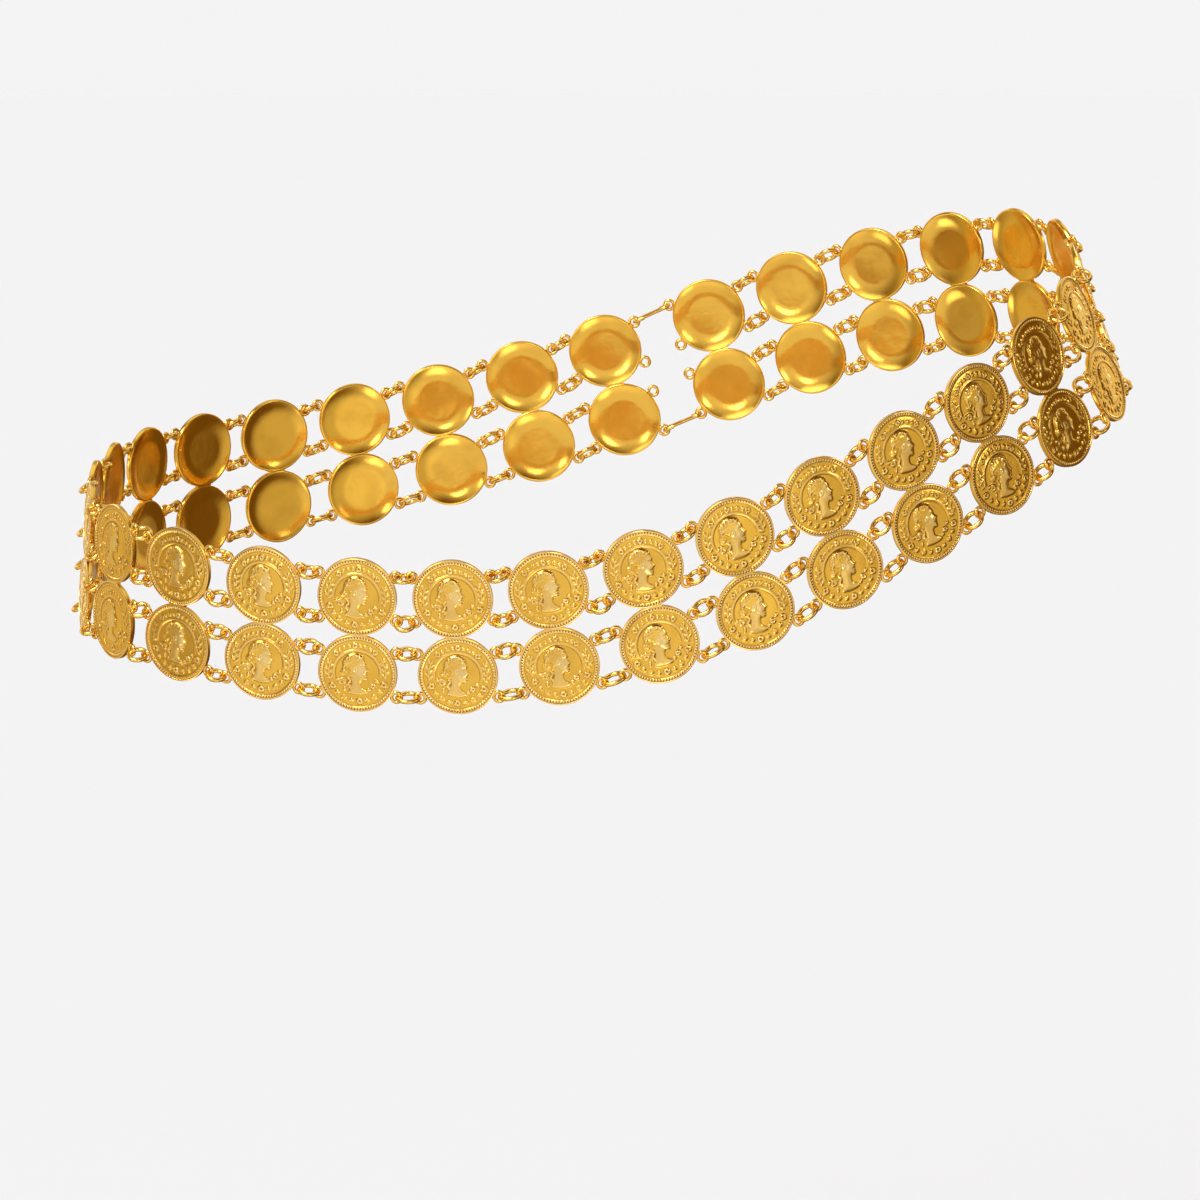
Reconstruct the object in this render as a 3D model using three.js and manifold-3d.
// Coin belt in its worn form: thirty pairs of stamped coins, one coin above the other, joined by round links
// into a closed loop that hangs low in front and at one hip and climbs to the other hip and the back.
// Millimetres, +Z up. The front faces -Y and the high hip is at +X. The origin is the middle of the loop.
import * as THREE from "three";
import { mergeVertices } from "three/addons/utils/BufferGeometryUtils.js";
import Module from "manifold-3d";

const TURN = 2 * Math.PI;

// The chain: pairs at one pitch, and a longer step behind, where two hooks close it.
const PAIRS = 30;
const CLOSURE_PITCH = 40;
const CHORD_REACH = 8; // the chain's direction at a pair is taken between points this far to each side
const CURVE_STEPS = 1600; // how finely the chain's length is measured

// The loop seen from above: how far it reaches from the point its front and sides are measured from, and how
// square each part is. A power of 2 is an ellipse.
const REACH = { left: 153, right: 186, front: 112, back: 125 };
const SQUARENESS = { frontLeft: 2.93, frontRight: 1.91, back: 2.28 };

// The loop's height: a tilt with one rise and fall in a whole turn, and a drape with two.
const TILT = { fore: -35, side: 33 };
const DRAPE = { fore: -12, side: -9 };

// How far a pair's top leans in towards the middle on each side, in radians; a minus leans it out.
const LEAN = { front: -0.21, left: 0.07, right: 0.39, back: 0.11 };
const ROLL_SHARE = 0.81; // the share of the chain's slope that a pair turns with

// One stamped coin. Its flats face up, down and its eyelets, and the two coins of a pair are soldered along one flat.
const COIN = { flat: 12.95, thickness: 1.8, sides: 12 };
const COIN_RISE = 12.9; // a coin's centre above or below the middle of its pair

// The wire eyelets on a coin's edge, two on each side, measured out from the coin's centre.
const EYELET = { angle: Math.PI / 6, root: 12.6, tip: 16, seat: 15.6, hole: 14.6, halfWidth: 1.5, wire: 0.55 };

// The round links, each joined to the eyelet it hangs from and loose in the next pair's eyelet.
const LINK = { wire: 0.5, sides: 6, sag: THREE.MathUtils.degToRad(5) };

// The S-shaped hooks that close the loop.
const HOOK = { bend: 2.4, wire: 0.5, sides: 4, steps: 16 };

const GOLD = { color: 0xd9a431, metalness: 1, roughness: 0.3 };

const wasm = await Module();
wasm.setup();

// A signed power, which squares off a circle's sine and cosine.
function squared(value, power) {
  return Math.sign(value) * Math.abs(value) ** power;
}

// The loop from above, once round from the middle of the front by the right side.
class HipPlan extends THREE.Curve {
  getPoint(share) {
    const side = Math.sin(TURN * share);
    const fore = Math.cos(TURN * share);
    const front = side > 0 ? SQUARENESS.frontRight : SQUARENESS.frontLeft;
    const power = 2 / (fore > 0 ? front : SQUARENESS.back);
    return new THREE.Vector3(
      (side > 0 ? REACH.right : REACH.left) * squared(side, power) - (REACH.right - REACH.left) / 2,
      -(fore > 0 ? REACH.front : REACH.back) * squared(fore, power) - (REACH.back - REACH.front) / 2,
      0,
    );
  }
}

// The line through the middles of the pairs: the plan, raised by the tilt and the drape.
class BeltLine extends THREE.Curve {
  constructor(plan) {
    super();
    this.plan = plan;
  }

  getPoint(share) {
    const point = this.plan.getPointAt(share);
    const round = TURN * share;
    point.z =
      TILT.fore * Math.cos(round) +
      TILT.side * Math.sin(round) +
      DRAPE.fore * Math.cos(2 * round) +
      DRAPE.side * Math.sin(2 * round);
    return point;
  }
}

const plan = new HipPlan();
plan.arcLengthDivisions = CURVE_STEPS;
const line = new BeltLine(plan);
line.arcLengthDivisions = CURVE_STEPS;

const around = line.getLength();
const pitch = (around - CLOSURE_PITCH) / (PAIRS - 1);

// The point at a length along the chain from the middle of the front, to the right.
function along(length) {
  return line.getPointAt(THREE.MathUtils.euclideanModulo(length, around) / around);
}

// Where a pair sits: z out of the coins' faces, square to the chain, and y up the pair, which the chain's slope
// turns by less than itself, so that each pair hangs a little nearer upright than its neighbours would set it.
function pairPlace(index) {
  const station = (index - (PAIRS - 1) / 2) * pitch;
  const chord = along(station + CHORD_REACH).sub(along(station - CHORD_REACH)).normalize();
  const level = new THREE.Vector3(chord.x, chord.y, 0).normalize();
  const out = new THREE.Vector3(level.y, -level.x, 0);
  const lean =
    (out.x > 0 ? LEAN.right : LEAN.left) * out.x ** 2 + (out.y < 0 ? LEAN.front : LEAN.back) * out.y ** 2;
  const up = new THREE.Vector3(0, 0, Math.cos(lean)).addScaledVector(out, -Math.sin(lean));
  const slope = Math.atan2(chord.dot(up), chord.dot(level));
  const z = out.multiplyScalar(Math.cos(lean));
  z.z = Math.sin(lean);
  z.addScaledVector(chord, -z.dot(chord)).normalize();
  const x = chord.clone().applyAxisAngle(z, (ROLL_SHARE - 1) * slope);
  const y = new THREE.Vector3().crossVectors(z, x);
  return new THREE.Matrix4().makeBasis(x, y, z).setPosition(along(station));
}

// A closed geometry as a solid that can be joined to others.
function solidOf(geometry) {
  const bare = geometry.clone().deleteAttribute("normal").deleteAttribute("uv");
  const merged = mergeVertices(bare, 1e-4);
  return new wasm.Manifold(
    new wasm.Mesh({
      numProp: 3,
      vertProperties: merged.attributes.position.array,
      triVerts: new Uint32Array(merged.index.array),
    }),
  );
}

// A solid as a geometry, with flat faces.
function geometryOf(solid) {
  const made = solid.getMesh();
  const geometry = new THREE.BufferGeometry();
  geometry.setAttribute("position", new THREE.BufferAttribute(new Float32Array(made.vertProperties), 3));
  geometry.setIndex(new THREE.BufferAttribute(new Uint32Array(made.triVerts), 1));
  const flat = geometry.toNonIndexed();
  flat.computeVertexNormals();
  return flat;
}

// A closed ring of three-sided wire round the Z axis, with a corner of its path towards -X.
function ringGeometry(radius, wire, sides, outerCorner) {
  const first = outerCorner ? 0 : TURN / 6;
  const profile = [0, 1, 2, 0].map((corner) => {
    const angle = first + (corner * TURN) / 3;
    return new THREE.Vector2(radius + wire * Math.cos(angle), wire * Math.sin(angle));
  });
  return new THREE.LatheGeometry(profile, sides).rotateX(Math.PI / 2).rotateZ(-Math.PI / 2);
}

// A coin's blank, turned about its own axis.
function coinGeometry() {
  const radius = COIN.flat / Math.cos(Math.PI / COIN.sides);
  const profile = [
    new THREE.Vector2(0, -COIN.thickness / 2),
    new THREE.Vector2(radius, -COIN.thickness / 2),
    new THREE.Vector2(radius, COIN.thickness / 2),
    new THREE.Vector2(0, COIN.thickness / 2),
  ];
  return new THREE.LatheGeometry(profile, COIN.sides).rotateX(Math.PI / 2).rotateZ(Math.PI / COIN.sides);
}

// A pair's four rows of eyelets: on the upper coin (1) or the lower (-1), towards its upper edge (1) or lower (-1).
const ROWS = [
  { coin: 1, edge: 1 },
  { coin: 1, edge: -1 },
  { coin: -1, edge: 1 },
  { coin: -1, edge: -1 },
];

// The direction from a coin's centre to an eyelet, on side 1 or -1 along the chain.
function eyeletAngle(side, edge) {
  return side > 0 ? edge * EYELET.angle : Math.PI - edge * EYELET.angle;
}

// A point on an eyelet's middle line, at a distance from the coin's centre.
function eyeletPoint(side, { coin, edge }, reach) {
  const angle = eyeletAngle(side, edge);
  return new THREE.Vector3(reach * Math.cos(angle), coin * COIN_RISE + reach * Math.sin(angle), 0);
}

// An eyelet: a loop of wire whose root is sunk in the coin's edge.
function eyeletGeometry(side, { coin, edge }) {
  const stretch = (EYELET.tip - EYELET.root) / 2 / EYELET.halfWidth;
  return ringGeometry(EYELET.halfWidth * Math.SQRT2, EYELET.wire, 4, true)
    .rotateZ(Math.PI / 4)
    .scale(stretch, 1, 1)
    .translate((EYELET.root + EYELET.tip) / 2, 0, 0)
    .rotateZ(eyeletAngle(side, edge))
    .translate(0, coin * COIN_RISE, 0);
}

// Two coins soldered edge to edge, with their eight eyelets, about the middle of the pair.
function pairSolid() {
  const pieces = [COIN_RISE, -COIN_RISE].map((rise) => solidOf(coinGeometry().translate(0, rise, 0)));
  for (const side of [-1, 1]) for (const row of ROWS) pieces.push(solidOf(eyeletGeometry(side, row)));
  return wasm.Manifold.union(pieces);
}

// The frame of wire that spans two eyelets: x along the span, y out of the coins' faces and down by the sag.
function spanFrame(from, to, outward, sag) {
  const x = to.clone().sub(from).normalize();
  const out = outward.clone().addScaledVector(x, -outward.dot(x)).normalize();
  const down = new THREE.Vector3().crossVectors(out, x);
  const y = out.multiplyScalar(Math.cos(sag)).addScaledVector(down, Math.sin(sag));
  const z = new THREE.Vector3().crossVectors(x, y);
  return new THREE.Matrix4().makeBasis(x, y, z);
}

const places = Array.from({ length: PAIRS }, (_, index) => pairPlace(index));

// The span from a point on a pair's eyelet to the hole of the eyelet that faces it on the next pair.
function spanOf(index, row, reach, sag) {
  const next = places[(index + 1) % PAIRS];
  const from = eyeletPoint(1, row, reach).applyMatrix4(places[index]);
  const to = eyeletPoint(-1, row, EYELET.hole).applyMatrix4(next);
  const frame = spanFrame(from, to, new THREE.Vector3().setFromMatrixColumn(next, 2), sag);
  return { length: from.distanceTo(to), frame: frame.setPosition(from.lerp(to, 0.5)) };
}

// A link: seated in the wire of the eyelet it hangs from, and through the middle of the next pair's eyelet.
function linkSolid(index, row) {
  const { length, frame } = spanOf(index, row, EYELET.seat, LINK.sag);
  const ring = ringGeometry(length / 2 / Math.cos(Math.PI / LINK.sides), LINK.wire, LINK.sides, false);
  return solidOf(ring.rotateZ(Math.PI / LINK.sides).applyMatrix4(frame));
}

// A hook: an S of wire whose two bends pass through the eyelets that it holds together.
function hookGeometry(row) {
  const { length, frame } = spanOf(PAIRS - 1, row, EYELET.hole, 0);
  const bend = HOOK.bend;
  const centre = length / 2 - bend;
  const half = [
    new THREE.Vector3(-centre + 0.7 * bend, 0.8 * bend, 0),
    new THREE.Vector3(-centre, bend, 0),
    new THREE.Vector3(-centre - bend, 0, 0),
    new THREE.Vector3(-centre, -bend, 0),
  ];
  const mirrored = half.map((point) => point.clone().negate()).reverse();
  const path = new THREE.CatmullRomCurve3([...half, ...mirrored]);
  const section = new THREE.Shape(
    Array.from({ length: HOOK.sides }, (_, corner) => {
      const angle = (corner * TURN) / HOOK.sides;
      return new THREE.Vector2(HOOK.wire * Math.cos(angle), HOOK.wire * Math.sin(angle));
    }),
  );
  const wire = new THREE.ExtrudeGeometry(section, { steps: HOOK.steps, extrudePath: path });
  return wire.applyMatrix4(frame);
}

function goldMesh(name, solid) {
  const mesh = new THREE.Mesh(geometryOf(solid), new THREE.MeshStandardMaterial(GOLD));
  mesh.name = name;
  return mesh;
}

const belt = new THREE.Group();
const pair = pairSolid();
places.forEach((place, index) => {
  const pieces = [pair.transform(place.elements)];
  if (index < PAIRS - 1) for (const row of ROWS) pieces.push(linkSolid(index, row));
  belt.add(goldMesh(`pair_${String(index + 1).padStart(2, "0")}`, wasm.Manifold.union(pieces)));
});
belt.add(goldMesh("hook_upper", solidOf(hookGeometry(ROWS[0]))));
belt.add(goldMesh("hook_lower", solidOf(hookGeometry(ROWS[3]))));

export default belt;
